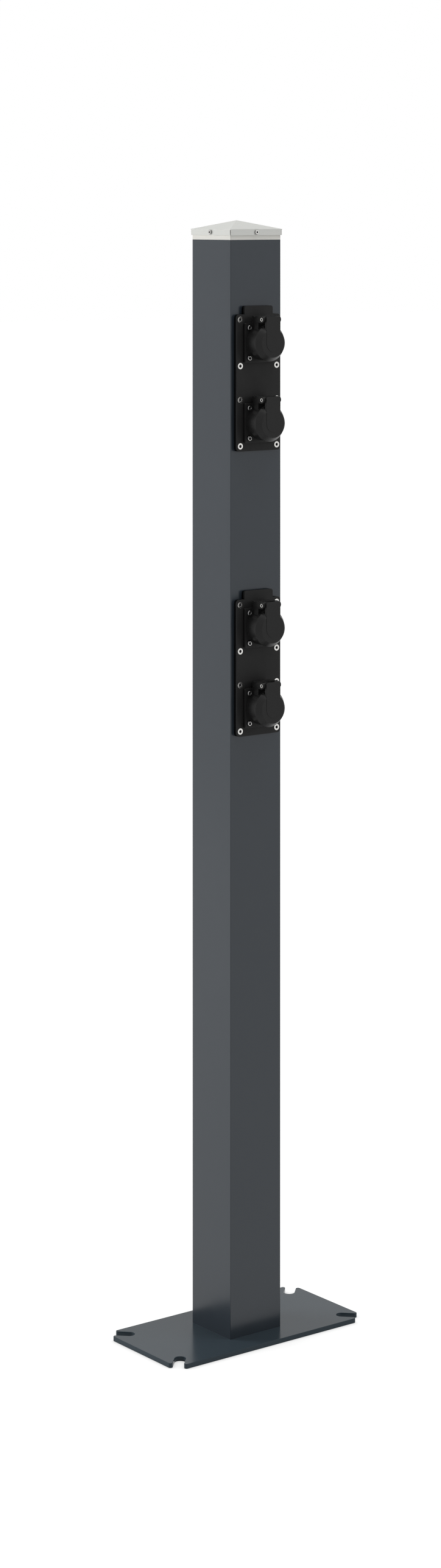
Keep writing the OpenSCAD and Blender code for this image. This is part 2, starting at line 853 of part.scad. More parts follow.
module weld_studs() {
    color("silver") {
        rail_stud_places() rod(rail_stud_d / 2, 0, rail_t + rail_nut_h + 1.5);
        earth_place() rod(earth_stud_d / 2, 0, lug_t + earth_nut_h + 5);
    }
}

module rail_nuts() {
    color("silver")
    rail_stud_places() difference() {
        hex(rail_stud_d * 1.75, rail_t, rail_t + rail_nut_h);
        rod(rail_stud_d / 2 + fit, 0, rail_t + rail_nut_h + 1);
    }
}

module earth_nut() {
    color("silver")
    earth_place() difference() {
        hex(earth_stud_d * 1.65, lug_t, lug_t + earth_nut_h);
        rod(earth_stud_d / 2 + fit, 0, lug_t + earth_nut_h + 1);
    }
}

lug_barrel_r = wire_r + 0.5;
lug_barrel_low = earth_stud_d + 6;
lug_barrel_high = lug_barrel_low + 9;
lug_axis_d = lug_barrel_r + 0.1;

module earth_lug() {
    color([0.8, 0.8, 0.8])
    earth_place() difference() {
        union() {
            layer(0, lug_t) {
                circle(earth_stud_d);
                translate([-3, 0]) square([6, lug_barrel_low + 1]);
            }
            translate([0, lug_barrel_low, lug_axis_d]) rotate([-90, 0, 0])
                cylinder(r = lug_barrel_r, h = lug_barrel_high - lug_barrel_low);
        }
        rod(earth_stud_d / 2 + 0.2, -1, lug_t + 1);
    }
}

// Wires: each route is a list of (distance out from the post's face, height)

// Bow from a high point to a low one, upright at both ends, that swings back by sag
function bow(n0, z0, n1, z1, sag, steps) = [for (i = [0 : steps])
    let (t = i / steps, blend = t * t * (3 - 2 * t))
    [n0 + (n1 - n0) * blend - sag * pow(sin(180 * t), 2), z0 + (z1 - z0) * t]];
// Half circle that starts upwards at n0 and ends downwards at n1, both at height z
function hoop(n0, n1, z, steps) = [for (i = [0 : steps])
    let (a = 180 - 180 * i / steps, r = (n1 - n0) / 2)
    [n0 + r + r * cos(a), z + r * sin(a)]];
function wire_end(k, s) = socket_z(k) + s * (contact_terminal_h / 2 + wire_clear);
n_front_entry = n_back_wall + front_entry_d;
n_rear_entry = n_back_wall + rear_entry_d;
terminal_top = rail_z + terminal_h / 2 + wire_clear;
terminal_low = rail_z - terminal_h / 2 - wire_clear;
hoop_z = wire_end(3, 1) + 12;
feed_straight_l = 60;

function pair_route(k) = concat([[n_wire, wire_end(k, -1)]],
    bow(n_wire, wire_end(k, -1) - 6, n_wire, wire_end(k + 1, 1) + 6, 9, 6),
    [[n_wire, wire_end(k + 1, 1)]]);
lower_feed = concat([[n_front_entry, terminal_top]],
    hoop(n_front_entry, n_wire, hoop_z, 8), [[n_wire, wire_end(3, 1)]]);
upper_feed = concat([[n_rear_entry, terminal_top]],
    bow(n_rear_entry, hoop_z + feed_straight_l, n_wire, wire_end(2, -1) - 14, 0, 8),
    [[n_wire, wire_end(2, -1)]]);
n_lug = n_back_wall + lug_axis_d;
lug_top = rail_z - earth_drop + lug_barrel_high;
earth_route = concat([[n_front_entry, terminal_low]],
    bow(n_front_entry, terminal_low - 6, n_lug, lug_top + 4, 0, 6),
    [[n_lug, lug_top + wire_clear]]);

module wire(x, route) {
    sweep([for (p = route) [x, -post_w / 2 - p[0], p[1]]], wire_r, 8);
}

module wires(x, paint) {
    color(paint) for (route = [pair_route(1), pair_route(3), lower_feed, upper_feed]) wire(x, route);
}

module wires_earth() {
    wires(0, earth_paint);
    color(earth_paint) wire(0, earth_route);
}

base_plate();
post_tube();
cap_frame();
cap_cover();
cap_screws();
plate_gasket(upper_plate_z);  // plate_gasket_upper
plate_gasket(lower_plate_z);  // plate_gasket_lower
socket_plate(upper_plate_z);  // socket_plate_upper
socket_plate(lower_plate_z);  // socket_plate_lower
plate_screws();
rivet_nuts();
flange_screws();
weld_studs();
terminal_rail();
rail_nuts();
terminal(-1, grey_paint);  // terminal_line
terminal(0, earth_paint);  // terminal_earth
terminal(1, neutral_paint);  // terminal_neutral
end_stops();
earth_lug();
earth_nut();
wires(-pin_pitch / 2, line_paint);  // wires_line
wires_earth();
wires(pin_pitch / 2, neutral_paint);  // wires_neutral
for (k = SOCKETS) on_face(socket_z(k)) {
    flange_gasket();
    socket_housing();
    contact_insert();
    contacts();
    earth_bow();
    hinge_pin();
    lid_spring();
    lid();
    lid_seal();
}
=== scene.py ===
import math

import bmesh
import bpy
from mathutils import Matrix, Vector


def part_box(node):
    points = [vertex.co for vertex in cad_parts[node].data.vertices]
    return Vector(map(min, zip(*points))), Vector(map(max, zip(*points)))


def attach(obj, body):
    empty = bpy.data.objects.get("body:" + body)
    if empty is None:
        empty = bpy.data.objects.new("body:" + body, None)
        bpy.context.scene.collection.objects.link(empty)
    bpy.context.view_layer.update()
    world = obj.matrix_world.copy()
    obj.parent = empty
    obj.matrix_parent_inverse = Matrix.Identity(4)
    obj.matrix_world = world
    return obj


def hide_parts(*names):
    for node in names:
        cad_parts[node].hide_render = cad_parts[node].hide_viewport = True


mmPerMetre = 1000       # the dictionaries give sizes in millimetres, Blender works in metres
quarterTurn = math.pi / 2
sixthTurn = math.pi / 3

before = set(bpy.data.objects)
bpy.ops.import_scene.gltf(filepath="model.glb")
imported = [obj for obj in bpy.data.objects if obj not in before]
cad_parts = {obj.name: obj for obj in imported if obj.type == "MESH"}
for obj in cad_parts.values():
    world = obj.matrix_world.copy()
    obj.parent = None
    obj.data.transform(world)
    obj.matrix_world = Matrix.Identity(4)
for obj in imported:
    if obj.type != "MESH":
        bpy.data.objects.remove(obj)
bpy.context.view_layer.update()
print("frame loaded:", len(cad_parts), "nodes")

# the four sockets, numbered from the top, and the height of each one's middle in metres
sockets = []
for name in sorted(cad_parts):
    if name.startswith("contact_insert_"):
        low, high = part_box(name)
        sockets.append({"number": name[-1], "flap": "flap_" + name[-1], "height": (low.z + high.z) / 2})


# sRGB hex to the linear values that Blender's sockets take
def linear(hexText):
    parts = [int(hexText[i:i + 2], 16) / 255 for i in (1, 3, 5)]
    return tuple(p / 12.92 if p <= 0.04045 else ((p + 0.055) / 1.055) ** 2.4 for p in parts) + (1.0,)


# adds one node: settings are its properties or its inputs by name, links are sockets to plug in
def addNode(tree, kind, settings={}, links={}):
    node = tree.nodes.new(kind)
    for key, value in settings.items():
        if isinstance(key, str) and hasattr(node, key):
            setattr(node, key, value)
        else:
            node.inputs[key].default_value = value
    for key, socket in links.items():
        tree.links.new(socket, node.inputs[key])
    return node


def newObject(name, data):
    thing = bpy.data.objects.new(name, data)
    bpy.context.scene.collection.objects.link(thing)
    return thing


cameraLook = {
    "place": (-2.48227, -3.21923, 1.42815),
    "heading": 37.351,      # degrees from +Y towards +X
    "tilt": 0.5,            # degrees below the horizon
    "lens": 73.502,         # mm, on a sensor 36 mm wide
    "sensor": 36,
    "shiftUp": -0.34987,    # the picture is cut from the lower part of a taller view
    "farEnd": 200,          # metres, past the far edge of the floor
}

camera = newObject("camera", bpy.data.cameras.new("camera"))
camera.location = cameraLook["place"]
camera.rotation_euler = (math.radians(90 - cameraLook["tilt"]), 0, math.radians(-cameraLook["heading"]))
camera.data.lens = cameraLook["lens"]
camera.data.sensor_width = cameraLook["sensor"]
camera.data.shift_y = cameraLook["shiftUp"]
camera.data.clip_end = cameraLook["farEnd"]
bpy.context.scene.camera = camera

# pale floor, white surround and soft lamps, in metres and watts
studio = {
    "ambient": 0.4,         # what matt surfaces receive from the surround
    "floorColour": "#e6e6e6",
    "floorSize": 60,
    "floorDrop": 0.0002,    # the floor lies this far below the foot plate
    "floorGlow": 0.86,      # share of the floor's look that is plain white, so shadows stay faint
    "glowStrength": 1.13,
    "contactReach": 0.08,   # how far the painted contact shadow round the foot plate spreads
    "contactDepth": 0.55,   # share of the glow that a fully hidden point of the floor loses, as painted shadow
    "lampAim": (0, 0, 0.75),
    "lamps": [              # name, place, width, power, whether gloss shows it
        ("leftLamp", (-2.2, 2.5, 1.5), 2.0, 104, False),
        ("frontLamp", (2.8, -3.1, 1.9), 2.4, 42, False),
        ("topLamp", (0.3, -0.9, 3.9), 2.0, 38, True),
    ],
}
plainWhite = linear("#ffffff")


# 1 for what the camera, a reflection or clear plastic sees, 0 for light on its way to a matt surface
def seenDirectly(tree):
    rays = addNode(tree, "ShaderNodeLightPath").outputs
    shiny = addNode(tree, "ShaderNodeMath", {"operation": "MAXIMUM"},
                    {0: rays["Is Glossy Ray"], 1: rays["Is Transmission Ray"]})
    seen = addNode(tree, "ShaderNodeMath", {"operation": "MAXIMUM"},
                   {0: rays["Is Camera Ray"], 1: shiny.outputs[0]})
    return seen.outputs[0]


bpy.context.scene.view_settings.view_transform = "Standard"
world = bpy.data.worlds.new("studio")
bpy.context.scene.world = world
world.use_nodes = True
tree = world.node_tree
tree.nodes.clear()
soft = addNode(tree, "ShaderNodeBackground", {"Color": plainWhite, "Strength": studio["ambient"]})
white = addNode(tree, "ShaderNodeBackground", {"Color": plainWhite, "Strength": 1.0})
both = addNode(tree, "ShaderNodeMixShader", {},
               {0: seenDirectly(tree), 1: soft.outputs[0], 2: white.outputs[0]})
addNode(tree, "ShaderNodeOutputWorld", {}, {"Surface": both.outputs[0]})

floorPaint = bpy.data.materials.new("paleFloor")
floorPaint.use_nodes = True
tree = floorPaint.node_tree
tree.nodes.clear()
share = addNode(tree, "ShaderNodeMath", {"operation": "MULTIPLY", 1: studio["floorGlow"]},
                {0: seenDirectly(tree)})
matt = addNode(tree, "ShaderNodeBsdfDiffuse", {"Color": linear(studio["floorColour"])})
# painted shadow: the floor's white glow dims where nearby things hide the floor
nearby = addNode(tree, "ShaderNodeAmbientOcclusion", {"Distance": studio["contactReach"]})
strength = addNode(tree, "ShaderNodeMapRange",
                   {"To Min": studio["glowStrength"] * (1 - studio["contactDepth"]),
                    "To Max": studio["glowStrength"]}, {"Value": nearby.outputs["AO"]})
glow = addNode(tree, "ShaderNodeEmission", {"Color": plainWhite}, {"Strength": strength.outputs[0]})
both = addNode(tree, "ShaderNodeMixShader", {},
               {0: share.outputs[0], 1: matt.outputs[0], 2: glow.outputs[0]})
addNode(tree, "ShaderNodeOutputMaterial", {}, {"Surface": both.outputs[0]})

half = studio["floorSize"] / 2
floorMesh = bpy.data.meshes.new("floor")
floorMesh.from_pydata([(-half, -half, 0), (half, -half, 0), (half, half, 0), (-half, half, 0)], [],
                      [(0, 1, 2, 3)])
floorMesh.materials.append(floorPaint)
floor = newObject("floor", floorMesh)
floor.location.z = -studio["floorDrop"]

for name, place, width, power, inGloss in studio["lamps"]:
    lamp = newObject(name, bpy.data.lights.new(name, "AREA"))
    lamp.data.shape = "DISK"
    lamp.data.size = width
    lamp.data.energy = power
    lamp.location = place
    lamp.visible_glossy = inGloss
    aim = Vector(studio["lampAim"]) - Vector(place)
    lamp.rotation_euler = aim.to_track_quat("-Z", "Y").to_euler()
print("camera, floor and lamps ready")

# Every finish: two close colours as sRGB hex, gloss and its spread, then sizes in millimetres: the width
# and depth of the fine relief and the width of the soft patches. Moulded grain, tumbling and turning marks
# are about 0.1 mm wide in life and drawn at 0.35 to 0.8 mm, because they wouldn't show otherwise.
finishes = {
    # polyester powder coat on steel: even anthracite with a fine orange peel that softens reflections
    "post_paint": {"name": "anthracitePowderCoat", "base": "#262d34", "other": "#293037", "rough": 0.24,
                   "roughSpan": 0.05, "ior": 1.5, "specular": 0.46, "peel": 2.4, "peelDepth": 0.006,
                   "patch": 60},
    # the foot plate's coat is the same, laid flat, so it settled smoother; its colours, lighter and bluer than
    # the post's, are painted light on its upward face
    "foot_paint": {"name": "anthracitePowderCoatFlat", "base": "#2f3940", "other": "#323c43", "rough": 0.2,
                   "roughSpan": 0.05, "ior": 1.5, "specular": 0.12, "peel": 3.0, "peelDepth": 0.004,
                   "patch": 45},
    # pale grey powder coat, matt, with a fine pebble
    "cap_paint": {"name": "paleGreyPowderCoat", "base": "#cecfcb", "other": "#cbccc8", "rough": 0.5,
                  "roughSpan": 0.04, "ior": 1.5, "specular": 0.3, "peel": 1.6, "peelDepth": 0.003,
                  "patch": 30},
    # the same coat on the frame below the cover, a little lighter: partly the frame's own tone, partly painted
    # light against the shade under the cover's overhang
    "band_paint": {"name": "paleGreyPowderCoatLight", "base": "#d5d4ce", "other": "#d3d2cd", "rough": 0.5,
                   "roughSpan": 0.04, "ior": 1.5, "specular": 0.3, "peel": 1.6, "peelDepth": 0.003,
                   "patch": 30},
    # glass-filled polyamide, moulded against a spark-eroded tool: dull black with a fine grain
    "plate_plastic": {"name": "blackPolyamideSheet", "base": "#212121", "other": "#252525", "rough": 0.5,
                      "roughSpan": 0.08, "ior": 1.5, "specular": 0.14, "peel": 0.7, "peelDepth": 0.008,
                      "patch": 18},
    # the same polyamide from a smoother tool: a little glossier
    "socket_plastic": {"name": "blackPolyamideMoulded", "base": "#1b1b1b", "other": "#1f1f1f", "rough": 0.36,
                       "roughSpan": 0.08, "ior": 1.5, "specular": 0.18, "peel": 0.6, "peelDepth": 0.006,
                       "patch": 14},
    # the insert is a harder thermoset, smoother still
    "insert_plastic": {"name": "blackThermosetInsert", "base": "#1b1b1c", "other": "#1f1f20", "rough": 0.32,
                       "roughSpan": 0.06, "ior": 1.5, "specular": 0.25, "peel": 0.5, "peelDepth": 0.003,
                       "patch": 10},
    # EPDM rubber: dead matt, slightly dusty
    "gasket_rubber": {"name": "blackRubber", "base": "#060708", "other": "#090a0b", "rough": 0.85,
                      "roughSpan": 0.08, "ior": 1.5, "specular": 0.04, "peel": 0.5, "peelDepth": 0.01,
                      "patch": 8},
    # stainless steel, cold headed and tumbled bright; its dark colour is painted shade for key holes, bores
    # and parts of the screw heads' rims
    "stainless": {"name": "brightStainless", "base": "#dcdbd8", "other": "#d2d1ce", "rough": 0.16,
                  "roughSpan": 0.08, "metal": 1.0, "peel": 0.35, "peelDepth": 0.0015, "patch": 3,
                  "hollow": "#26262a"},
    # zinc plating with its faint cool passivation
    "zinc_steel": {"name": "zincPlatedSteel", "base": "#b9bec2", "other": "#a7aeb3", "rough": 0.3,
                   "roughSpan": 0.12, "metal": 1.0, "peel": 0.8, "peelDepth": 0.004, "patch": 6},
    # hot-dipped tin over copper: a soft warm grey
    "tinned_copper": {"name": "tinnedCopper", "base": "#c4c3bd", "other": "#b4b2ab", "rough": 0.28,
                      "roughSpan": 0.1, "metal": 1.0, "peel": 0.6, "peelDepth": 0.003, "patch": 4},
    # brass, turned, darkening a little where it was handled
    "contact_brass": {"name": "turnedBrass", "base": "#d8b467", "other": "#c29d52", "rough": 0.24,
                      "roughSpan": 0.1, "metal": 1.0, "peel": 0.4, "peelDepth": 0.002, "patch": 4},
    # polyamide terminals, satin from the mould
    "grey_plastic": {"name": "greyPolyamide", "base": "#a3a5a4", "other": "#9b9d9c", "rough": 0.45,
                     "roughSpan": 0.06, "ior": 1.5, "specular": 0.4, "peel": 0.6, "peelDepth": 0.004,
                     "patch": 12},
    "green_plastic": {"name": "greenPolyamide", "base": "#7fae3d", "other": "#78a639", "rough": 0.45,
                      "roughSpan": 0.06, "ior": 1.5, "specular": 0.4, "peel": 0.6, "peelDepth": 0.004,
                      "patch": 12},
    "blue_plastic": {"name": "bluePolyamide", "base": "#3f6fae", "other": "#3b69a6", "rough": 0.45,
                     "roughSpan": 0.06, "ior": 1.5, "specular": 0.4, "peel": 0.6, "peelDepth": 0.004,
                     "patch": 12},
    # soft PVC insulation, drawn through a die: smooth and faintly waxy
    "brown_insulation": {"name": "brownInsulation", "base": "#5a3a24", "other": "#523420", "rough": 0.4,
                         "roughSpan": 0.05, "ior": 1.5, "specular": 0.45, "peel": 1.5, "peelDepth": 0.004,
                         "patch": 15},
    "green_insulation": {"name": "greenInsulation", "base": "#76a03a", "other": "#6d9635", "rough": 0.4,
                         "roughSpan": 0.05, "ior": 1.5, "specular": 0.45, "peel": 1.5, "peelDepth": 0.004,
                         "patch": 15},
    "blue_insulation": {"name": "blueInsulation", "base": "#2f5fa6", "other": "#2b589b", "rough": 0.4,
                        "roughSpan": 0.05, "ior": 1.5, "specular": 0.45, "peel": 1.5, "peelDepth": 0.004,
                        "patch": 15},
}
glossFineness = 1.6     # patches of gloss are this many times finer than those of colour


# one finish as nodes: two close colours in soft patches, uneven gloss and a fine relief
def makeMaterial(look):
    material = bpy.data.materials.new(look["name"])
    material.use_nodes = True
    tree = material.node_tree
    tree.nodes.clear()
    place = addNode(tree, "ShaderNodeTexCoord").outputs["Object"]
    patches = addNode(tree, "ShaderNodeTexNoise",
                      {"Scale": mmPerMetre / look["patch"], "Detail": 3.0, "Roughness": 0.55},
                      {"Vector": place})
    # a colour Mix node has its colours at inputs 6 and 7 and its result at output 2
    paint = addNode(tree, "ShaderNodeMix",
                    {"data_type": "RGBA", 6: linear(look["base"]), 7: linear(look["other"])},
                    {0: patches.outputs["Fac"]}).outputs[2]
    # painted shade: where a piece marks its points, the colour darkens towards this finish's dark colour
    if "hollow" in look:
        shadeMask = addNode(tree, "ShaderNodeAttribute", {"attribute_name": "hollow"})
        paint = addNode(tree, "ShaderNodeMix", {"data_type": "RGBA", 7: linear(look["hollow"])},
                        {0: shadeMask.outputs["Fac"], 6: paint}).outputs[2]
    gloss = addNode(tree, "ShaderNodeTexNoise",
                    {"Scale": glossFineness * mmPerMetre / look["patch"], "Detail": 2.0}, {"Vector": place})
    rough = addNode(tree, "ShaderNodeMapRange",
                    {"To Min": look["rough"] - look["roughSpan"], "To Max": look["rough"] + look["roughSpan"]},
                    {"Value": gloss.outputs["Fac"]})
    grain = addNode(tree, "ShaderNodeTexNoise",
                    {"Scale": mmPerMetre / look["peel"], "Detail": 2.0, "Roughness": 0.5}, {"Vector": place})
    relief = addNode(tree, "ShaderNodeBump", {"Strength": 1.0, "Distance": look["peelDepth"] / mmPerMetre},
                     {"Height": grain.outputs["Fac"]})
    settings = {"Metallic": look.get("metal", 0.0)}
    if "ior" in look:
        settings["IOR"] = look["ior"]
        settings["Specular IOR Level"] = look["specular"]
    surface = addNode(tree, "ShaderNodeBsdfPrincipled", settings,
                      {"Base Color": paint, "Roughness": rough.outputs[0], "Normal": relief.outputs[0]})
    addNode(tree, "ShaderNodeOutputMaterial", {}, {"Surface": surface.outputs[0]})
    return material


materials = {slot: makeMaterial(look) for slot, look in finishes.items()}
print("materials ready:", len(materials))

surfaces = {
    "crease": 50,           # degrees: sharper edges stay hard, unless a piece has its own angle
    "flatness": 90,         # weight of large faces, so only the roundings between them turn the light
    "merge": 1e-5,          # metres: corners closer than this are one
    "flat": 0.5,            # degrees: faces closer than this become one
}


# makes an object's live modifiers part of its mesh
def freeze(thing):
    bpy.context.view_layer.update()
    live = thing.evaluated_get(bpy.context.evaluated_depsgraph_get())
    mesh = bpy.data.meshes.new_from_object(live)
    thing.modifiers.clear()
    thing.data = mesh


# gives a piece its finish and smooth shading up to a crease angle, attaches it to its body and hides the CAD
# node it stands for
def settle(piece, slot, body, node, look={}):
    mesh = piece.data
    mesh.materials.clear()
    mesh.materials.append(materials[look.get("finish", slot)])
    mesh.shade_smooth()
    mesh.set_sharp_from_angle(angle=math.radians(look.get("crease", surfaces["crease"])))
    normals = piece.modifiers.new("normals", "WEIGHTED_NORMAL")
    normals.weight = surfaces["flatness"]
    normals.keep_sharp = True
    freeze(piece)
    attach(piece, body)
    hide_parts(node)


# a copy of a CAD node's mesh as one closed skin, its triangles joined to whole flat faces where asked
def skinOf(node, wholeFaces=False):
    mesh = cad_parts[node].data.copy()
    work = bmesh.new()
    work.from_mesh(mesh)
    bmesh.ops.remove_doubles(work, verts=work.verts, dist=surfaces["merge"])
    if wholeFaces:
        bmesh.ops.dissolve_limit(work, angle_limit=math.radians(surfaces["flat"]), verts=work.verts,
                                 edges=work.edges)
    bmesh.ops.recalc_face_normals(work, faces=work.faces)
    work.to_mesh(mesh)
    work.free()
    return mesh


# stands in for a CAD node with the same shape, its hard edges broken by a small rounding
def roundNode(node, name, slot, body, look):
    piece = newObject(name, skinOf(node, wholeFaces=True))
    bevel = piece.modifiers.new("rounding", "BEVEL")
    bevel.width = look["edge"] / mmPerMetre
    bevel.segments = look.get("steps", 2)
    bevel.limit_method = "ANGLE"
    bevel.angle_limit = math.radians(look.get("sharp", 30))
    freeze(piece)
    settle(piece, slot, body, node, look)


# a turned body about Z in millimetres: stations are (height, radius, sides, shade), from its underside up
# and back inwards, with 6 sides for a hexagon and a shade of up to 1 where shade is painted into the colour
def turned(name, stations, closed=False):
    steps = 48          # corners round the circle
    work = bmesh.new()
    # each point's painted shade, read by the stainless finish
    mark = work.verts.layers.float.new("hollow")
    rings = []
    for height, radius, sides, shade in stations:
        ring = []
        for i in range(steps if radius else 1):
            a = 2 * math.pi * i / steps
            r = radius / mmPerMetre
            if sides == 6:
                r /= math.cos((a + sixthTurn / 2) % sixthTurn - sixthTurn / 2)
            ring.append(work.verts.new((r * math.cos(a), r * math.sin(a), height / mmPerMetre)))
            ring[-1][mark] = shade
        rings.append(ring)
    if closed:
        rings.append(rings[0])
    for a, b in zip(rings, rings[1:]):
        for i in range(steps):
            j = (i + 1) % steps
            corners = [a[i % len(a)], a[j % len(a)], b[j % len(b)], b[i % len(b)]]
            # a ring of one point is a pole, where the four corners are three
            corners = [v for k, v in enumerate(corners) if v not in corners[:k]]
            work.faces.new(corners)
    bmesh.ops.recalc_face_normals(work, faces=work.faces)
    mesh = bpy.data.meshes.new(name)
    work.to_mesh(mesh)
    work.free()
    return newObject(name, mesh)


# a screw with its head upwards and its seat at height 0: shank, rim of the head and hexagonal key hole
def screwPart(name, look):
    top, length, shank, key = look["height"], look["length"], look["shank"], look["key"]
    narrowing, tip = look["tip"]
    stations = [(-length, 0, 0, 0), (-length, shank - narrowing, 0, 0), (-length + tip, shank, 0, 0),
                (look["neck"], shank, 0, 0)]
    stations += [(top - drop, look["head"] - inset, 0, shade) for drop, inset, shade in look["rim"]]
    stations += [(top - drop, key + gap, 0, shade) for drop, gap, shade in look["mouth"]]
    stations += [(top - look["keyTop"], key, 6, look["keyShade"]), (top - look["keyDepth"], key, 6, 1),
                 (top - look["keyDepth"] - look["keyPoint"], 0, 0, 1)]
    return turned(name, stations)


# a node tree's starting point: its named inputs, and the node that hands them out
def newTree(name, inputs):
    tree = bpy.data.node_groups.new(name, "GeometryNodeTree")
    for label, kind in inputs.items():
        tree.interface.new_socket(name=label, in_out="INPUT", socket_type="NodeSocket" + kind)
    tree.interface.new_socket(name="Result", in_out="OUTPUT", socket_type="NodeSocketGeometry")
    return tree, addNode(tree, "NodeGroupInput").outputs


# real copies of a part on points, each turned a little about its own axis, with its finish
def placeCopies(tree, points, given, turn):
    part = addNode(tree, "GeometryNodeObjectInfo", {"transform_space": "ORIGINAL"},
                   {"Object": given["Part"]})
    copies = addNode(tree, "GeometryNodeInstanceOnPoints", {},
                     {"Points": points, "Instance": part.outputs["Geometry"], "Rotation": turn})
    # a key hole looks the same after a sixth of a turn
    spin = addNode(tree, "FunctionNodeRandomValue", {"data_type": "FLOAT", 2: 0.0, 3: sixthTurn},
                   {"Seed": given["Seed"]})
    spinTurn = addNode(tree, "ShaderNodeCombineXYZ", {}, {"Z": spin.outputs[1]})
    spun = addNode(tree, "GeometryNodeRotateInstances", {"Local Space": True},
                   {"Instances": copies.outputs["Instances"], "Rotation": spinTurn.outputs[0]})
    real = addNode(tree, "GeometryNodeRealizeInstances", {}, {"Geometry": spun.outputs["Instances"]})
    painted = addNode(tree, "GeometryNodeSetMaterial", {},
                      {"Geometry": real.outputs["Geometry"], "Material": given["Finish"]})
    addNode(tree, "NodeGroupOutput", {}, {"Result": painted.outputs["Geometry"]})


# four copies at the corners of an upright square round each point, facing forwards
squareTree, given = newTree("squareOfParts", {"Middles": "Geometry", "Part": "Object", "Pitch": "Float",
                                              "Seed": "Int", "Finish": "Material"})
corners = addNode(squareTree, "GeometryNodeMeshGrid", {"Vertices X": 2, "Vertices Y": 2},
                  {"Size X": given["Pitch"], "Size Y": given["Pitch"]})
squares = addNode(squareTree, "GeometryNodeInstanceOnPoints", {"Rotation": (quarterTurn, 0, 0)},
                  {"Points": given["Middles"], "Instance": corners.outputs["Mesh"]})
cornerPoints = addNode(squareTree, "GeometryNodeRealizeInstances", {},
                       {"Geometry": squares.outputs["Instances"]})
forwards = addNode(squareTree, "FunctionNodeEulerToRotation", {"Euler": (quarterTurn, 0, 0)})
placeCopies(squareTree, cornerPoints.outputs["Geometry"], given, forwards.outputs[0])

# copies spread evenly on a level circle round each point, facing outwards
ringTree, given = newTree("ringOfParts", {"Middles": "Geometry", "Part": "Object", "Radius": "Float",
                                          "Count": "Int", "Seed": "Int", "Finish": "Material"})
circle = addNode(ringTree, "GeometryNodeMeshCircle", {},
                 {"Vertices": given["Count"], "Radius": given["Radius"]})
circles = addNode(ringTree, "GeometryNodeInstanceOnPoints", {},
                  {"Points": given["Middles"], "Instance": circle.outputs["Mesh"]})
circlePoints = addNode(ringTree, "GeometryNodeRealizeInstances", {},
                       {"Geometry": circles.outputs["Instances"]})
index = addNode(ringTree, "GeometryNodeInputIndex")
step = addNode(ringTree, "ShaderNodeMath", {"operation": "DIVIDE", 0: 2 * math.pi}, {1: given["Count"]})
angle = addNode(ringTree, "ShaderNodeMath", {"operation": "MULTIPLY"},
                {0: index.outputs[0], 1: step.outputs[0]})
around = addNode(ringTree, "ShaderNodeCombineXYZ", {"Y": quarterTurn}, {"Z": angle.outputs[0]})
outwards = addNode(ringTree, "FunctionNodeEulerToRotation", {}, {"Euler": around.outputs[0]})
placeCopies(ringTree, circlePoints.outputs["Geometry"], given, outwards.outputs[0])

# a round wire along a line of points
wireTree, given = newTree("wireAlongLine", {"Line": "Geometry", "Radius": "Float", "Sides": "Int",
                                            "Finish": "Material"})
path = addNode(wireTree, "GeometryNodeMeshToCurve", {}, {"Mesh": given["Line"]})
outline = addNode(wireTree, "GeometryNodeCurvePrimitiveCircle", {},
                  {"Radius": given["Radius"], "Resolution": given["Sides"]})
tube = addNode(wireTree, "GeometryNodeCurveToMesh", {"Fill Caps": True},
               {"Curve": path.outputs["Curve"], "Profile Curve": outline.outputs["Curve"]})
painted = addNode(wireTree, "GeometryNodeSetMaterial", {},
                  {"Geometry": tube.outputs["Mesh"], "Material": given["Finish"]})
addNode(wireTree, "NodeGroupOutput", {}, {"Result": painted.outputs["Geometry"]})


# runs a tree on points, or on lines through them, and returns the plain mesh object
def runTree(name, tree, points, values, lines=()):
    mesh = bpy.data.meshes.new(name)
    mesh.from_pydata(points, lines, [])
    piece = newObject(name, mesh)
    modifier = piece.modifiers.new("nodes", "NODES")
    modifier.node_group = tree
    for item in tree.interface.items_tree:
        if item.in_out == "INPUT" and item.name in values:
            modifier[item.identifier] = values[item.name]
    freeze(piece)
    return piece


postBody = "post"
tubeHalf = 40.0         # mm from the tube's axis to its faces

# edge is the rounding's width in mm, crease the angle in degrees past which an edge stays hard
footPlate = {"edge": 0.5, "finish": "foot_paint"}
capBand = {"edge": 0.4, "finish": "band_paint"}
capCover = {"edge": 0.3, "crease": 8}

roundNode("base_plate", "footPlate", "post_paint", postBody, footPlate)
roundNode("cap_frame", "capBand", "cap_paint", postBody, capBand)
roundNode("cap_cover", "capCover", "cap_paint", postBody, capCover)
print("foot plate and cap ready")

# Screws, all in mm. head, shank and key are radii, tip is how much the shank's end narrows and over what
# length. Each row of the rim is a drop below the top, an inset from the head's radius and a painted shade,
# and each row of the mouth is a drop, a gap round the key hole and a painted shade.
capScrew = {
    "head": 2.9, "height": 1.9, "shank": 1.45, "length": 6.0, "tip": (0.3, 0.4), "neck": 0,
    "rim": [(1.9, 0, 0.6), (0.45, 0, 0.25), (0.35, 0.02, 0.55), (0.1, 0.22, 0.7), (0.02, 0.35, 0.5),
            (0, 0.5, 0)],
    "mouth": [(0, 0.4, 0), (0.03, 0.3, 0.7)],
    "key": 1.0, "keyTop": 0.2, "keyShade": 1, "keyDepth": 1.1, "keyPoint": 0.3,
    "seat": 1.3,            # from the tube's face to the cover's skirt
    "count": 4, "seed": 3,
}
plateScrew = {
    "head": 4.15, "height": 0, "shank": 1.95, "length": 13.0, "tip": (0.4, 0.5), "neck": -2.2,
    "rim": [(0.25, 0.1, 1), (0.12, 0, 1), (0.05, 0.24, 1), (0, 0.3, 0)],
    "mouth": [(0, 0.8, 0), (0.04, 0.74, 0.75)],
    "key": 1.3, "keyTop": 0.35, "keyShade": 0.9, "keyDepth": 1.8, "keyPoint": 0.4,
    "seat": 6.0,            # from the tube's face to the front of the plate
    "pitch": 58.0, "seed": 5,
}
